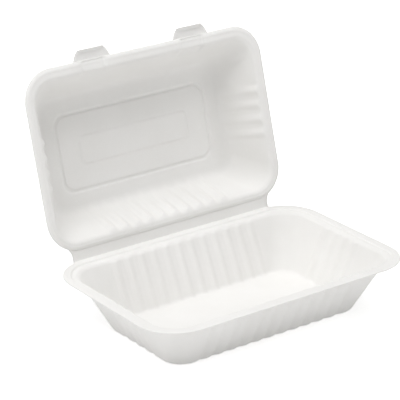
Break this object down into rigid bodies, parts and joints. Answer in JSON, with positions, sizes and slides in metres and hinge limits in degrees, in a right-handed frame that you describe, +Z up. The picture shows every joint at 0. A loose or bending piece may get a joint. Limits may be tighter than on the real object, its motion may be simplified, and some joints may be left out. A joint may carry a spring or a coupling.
{
  "type": "clamshell food box",
  "caption": "Moulded-pulp takeaway box: a fluted oblong tray and a hinged lid with a stepped rim, two locking tabs at the lid's front edge and a framed top panel.",
  "frame": {"origin": "middle of the tray's foot, on the surface it stands on", "axes": "+Z up, +X along the hinge to the right as seen from the front, +Y back towards the hinge; the lid is stored standing open"},
  "size_m": [0.23, 0.2143, 0.1909],
  "materials": {
    "pulp": "matt off-white moulded plant fibre"
  },
  "bodies": {
    "tray": {"tray": "pulp"},
    "lid": {"lid": "pulp"}
  },
  "joints": [
    {"name": "lid_hinge", "type": "hinge", "parent": "tray", "child": "lid", "pos_m": [0, 0.07615, 0.04265], "axis": [1, 0, 0], "range_deg": [-75, 105]}
  ]
}
